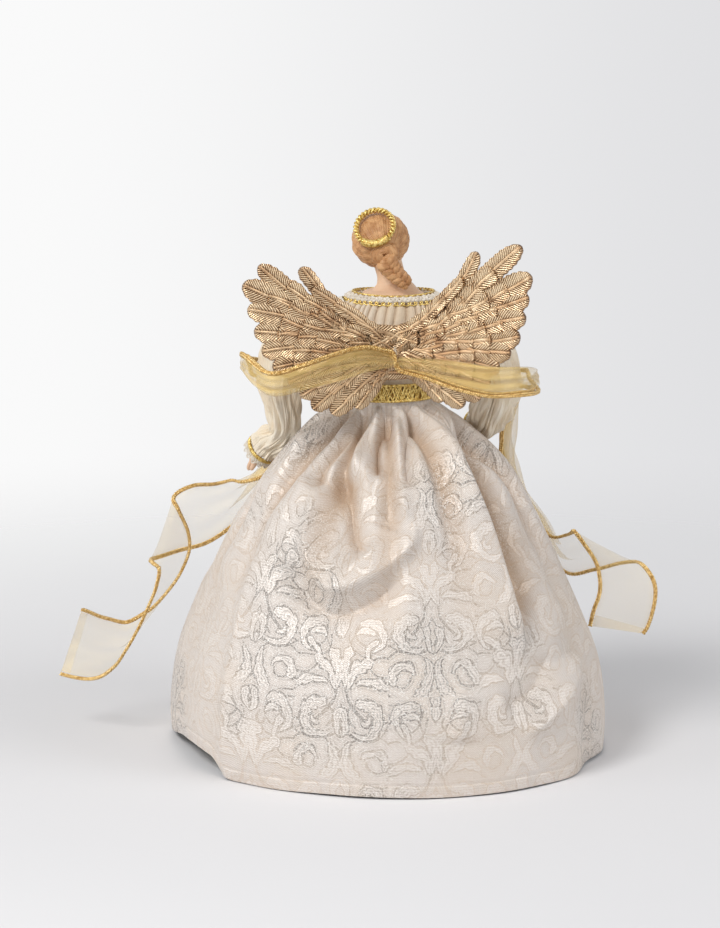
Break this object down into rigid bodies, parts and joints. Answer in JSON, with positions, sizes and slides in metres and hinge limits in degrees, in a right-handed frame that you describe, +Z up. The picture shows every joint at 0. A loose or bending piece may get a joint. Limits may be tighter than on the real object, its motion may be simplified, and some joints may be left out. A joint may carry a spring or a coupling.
{
  "type": "angel tree topper",
  "caption": "Angel tree topper: gathered brocade skirt over a hollow cone, pleated bodice and sleeves, moulded gilt feather wings, cord halo and a wired organza ribbon.",
  "frame": {"origin": "middle of the cone's open mouth, on the plane that the topper stands on", "axes": "+Z up along the cone, the angel faces -Y and its left side is +X"},
  "size_m": [0.3026, 0.2213, 0.272],
  "materials": {
    "brocade": "ivory jacquard with silver and pale gold scrolls",
    "satin": "crinkle-pleated ivory satin",
    "white_lace": "white gimp braid and lace",
    "gilt_cord": "metallic gold thread, twisted or braided",
    "organza": "sheer pale gold organza",
    "gilt_resin": "champagne gold paint with a brown antique wash",
    "casting": "painted casting, brown hair and skin tone face",
    "skin": "painted skin tone",
    "board": "plain moulded cone",
    "foam": "rigid foam",
    "wire": "bare wire",
    "adhesive": "clear hot-melt adhesive"
  },
  "bodies": {
    "root": {"arm_wire": "wire", "bodice": "satin", "collar_cord_lower": "gilt_cord", "collar_cord_upper": "gilt_cord", "collar_lace": "white_lace", "cuff_cord_left": "gilt_cord", "cuff_cord_right": "gilt_cord", "cuff_lace_left": "white_lace", "cuff_lace_right": "white_lace", "glue_dot": "adhesive", "halo_binding": "gilt_cord", "halo_cord": "gilt_cord", "hand_left": "skin", "hand_right": "skin", "head": "casting", "ribbon": "organza", "ribbon_cord_lower": "gilt_cord", "ribbon_cord_upper": "gilt_cord", "skirt": "brocade", "sleeve_left": "satin", "sleeve_right": "satin", "support_cone": "board", "torso_core": "foam", "waist_belt": "gilt_cord", "wing_pad": "adhesive", "wings": "gilt_resin"}
  },
  "joints": []
}
